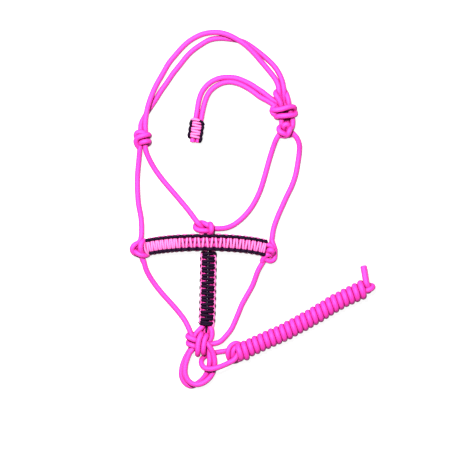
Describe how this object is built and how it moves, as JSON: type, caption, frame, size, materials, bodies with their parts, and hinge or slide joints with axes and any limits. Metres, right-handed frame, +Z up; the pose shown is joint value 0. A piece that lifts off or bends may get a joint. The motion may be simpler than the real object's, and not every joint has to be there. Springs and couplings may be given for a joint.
{
  "type": "rope halter",
  "caption": "Knotted rope halter laid flat, with a woven noseband and jaw strap, a sheet-bend crown tie and a wound lead rope hitched to the chin loops.",
  "frame": {"origin": "middle of the halter's outline, without the lead and the crown tail, on the surface it lies on", "axes": "+Y from the chin loops towards the crown, along the flat halter; +X towards the tie knot's side; +Z up, out of the surface it lies on"},
  "size_m": [0.2706, 0.3954, 0.0204],
  "materials": {
    "rope_pink": "braided polyester rope, soft satin",
    "weave_light_pink": "braided nylon cord, satin",
    "weave_black": "braided nylon cord, matt"
  },
  "bodies": {
    "halter": {"cheek_knot_left": "rope_pink", "cheek_rope_left": "rope_pink", "throat_rope_left": "rope_pink", "throat_knot": "rope_pink", "throat_rope_right": "rope_pink", "cheek_rope_right": "rope_pink", "cheek_knot_right": "rope_pink", "tie_loop": "rope_pink", "tie_knot": "rope_pink", "nose_knot_left": "rope_pink", "nose_core_upper": "rope_pink", "nose_core_lower": "rope_pink", "noseband_weave_pink": "weave_light_pink", "noseband_weave_black": "weave_black", "nose_knot_right": "rope_pink", "jaw_core_left": "rope_pink", "jaw_core_right": "rope_pink", "jaw_weave_black": "weave_black", "jaw_weave_pink": "weave_light_pink", "chin_rope_left": "rope_pink", "chin_rope_right": "rope_pink", "chin_knot": "rope_pink", "chin_loop_front": "rope_pink", "chin_loop_back": "rope_pink"},
    "crown": {"crown_rope_outer": "rope_pink", "crown_rope_inner": "rope_pink"},
    "tail": {"tail_rope_outer": "rope_pink", "tail_rope_inner": "rope_pink", "tail_whip_pink": "weave_light_pink", "tail_whip_black": "weave_black"},
    "lead_eye": {"lead_eye": "rope_pink"},
    "lead_hank": {"lead_leg_front": "rope_pink", "lead_leg_back": "rope_pink", "lead_hitch": "rope_pink", "lead_core": "rope_pink", "lead_wraps": "rope_pink", "lead_end_bight": "rope_pink", "lead_tail": "rope_pink"}
  },
  "joints": [
    {"name": "crown_fold", "type": "hinge", "parent": "halter", "child": "crown", "pos_m": [-0.00518, 0.117, 0.0085], "axis": [0.974, 0.2264, 0], "range_deg": [0, 110]},
    {"name": "tail_lift", "type": "hinge", "parent": "halter", "child": "tail", "pos_m": [0.05048, 0.12569, 0.0075], "axis": [0.5, 0.866, 0], "range_deg": [0, 60]},
    {"name": "lead_swing", "type": "hinge", "parent": "halter", "child": "lead_eye", "pos_m": [-0.0153, -0.16515, 0.009], "axis": [0, 0, 1], "range_deg": [-20, 0]},
    {"name": "hank_lift", "type": "hinge", "parent": "lead_eye", "child": "lead_hank", "pos_m": [0.00615, -0.16273, 0.013], "axis": [0.4493, -0.8934, 0], "range_deg": [0, 90]}
  ]
}
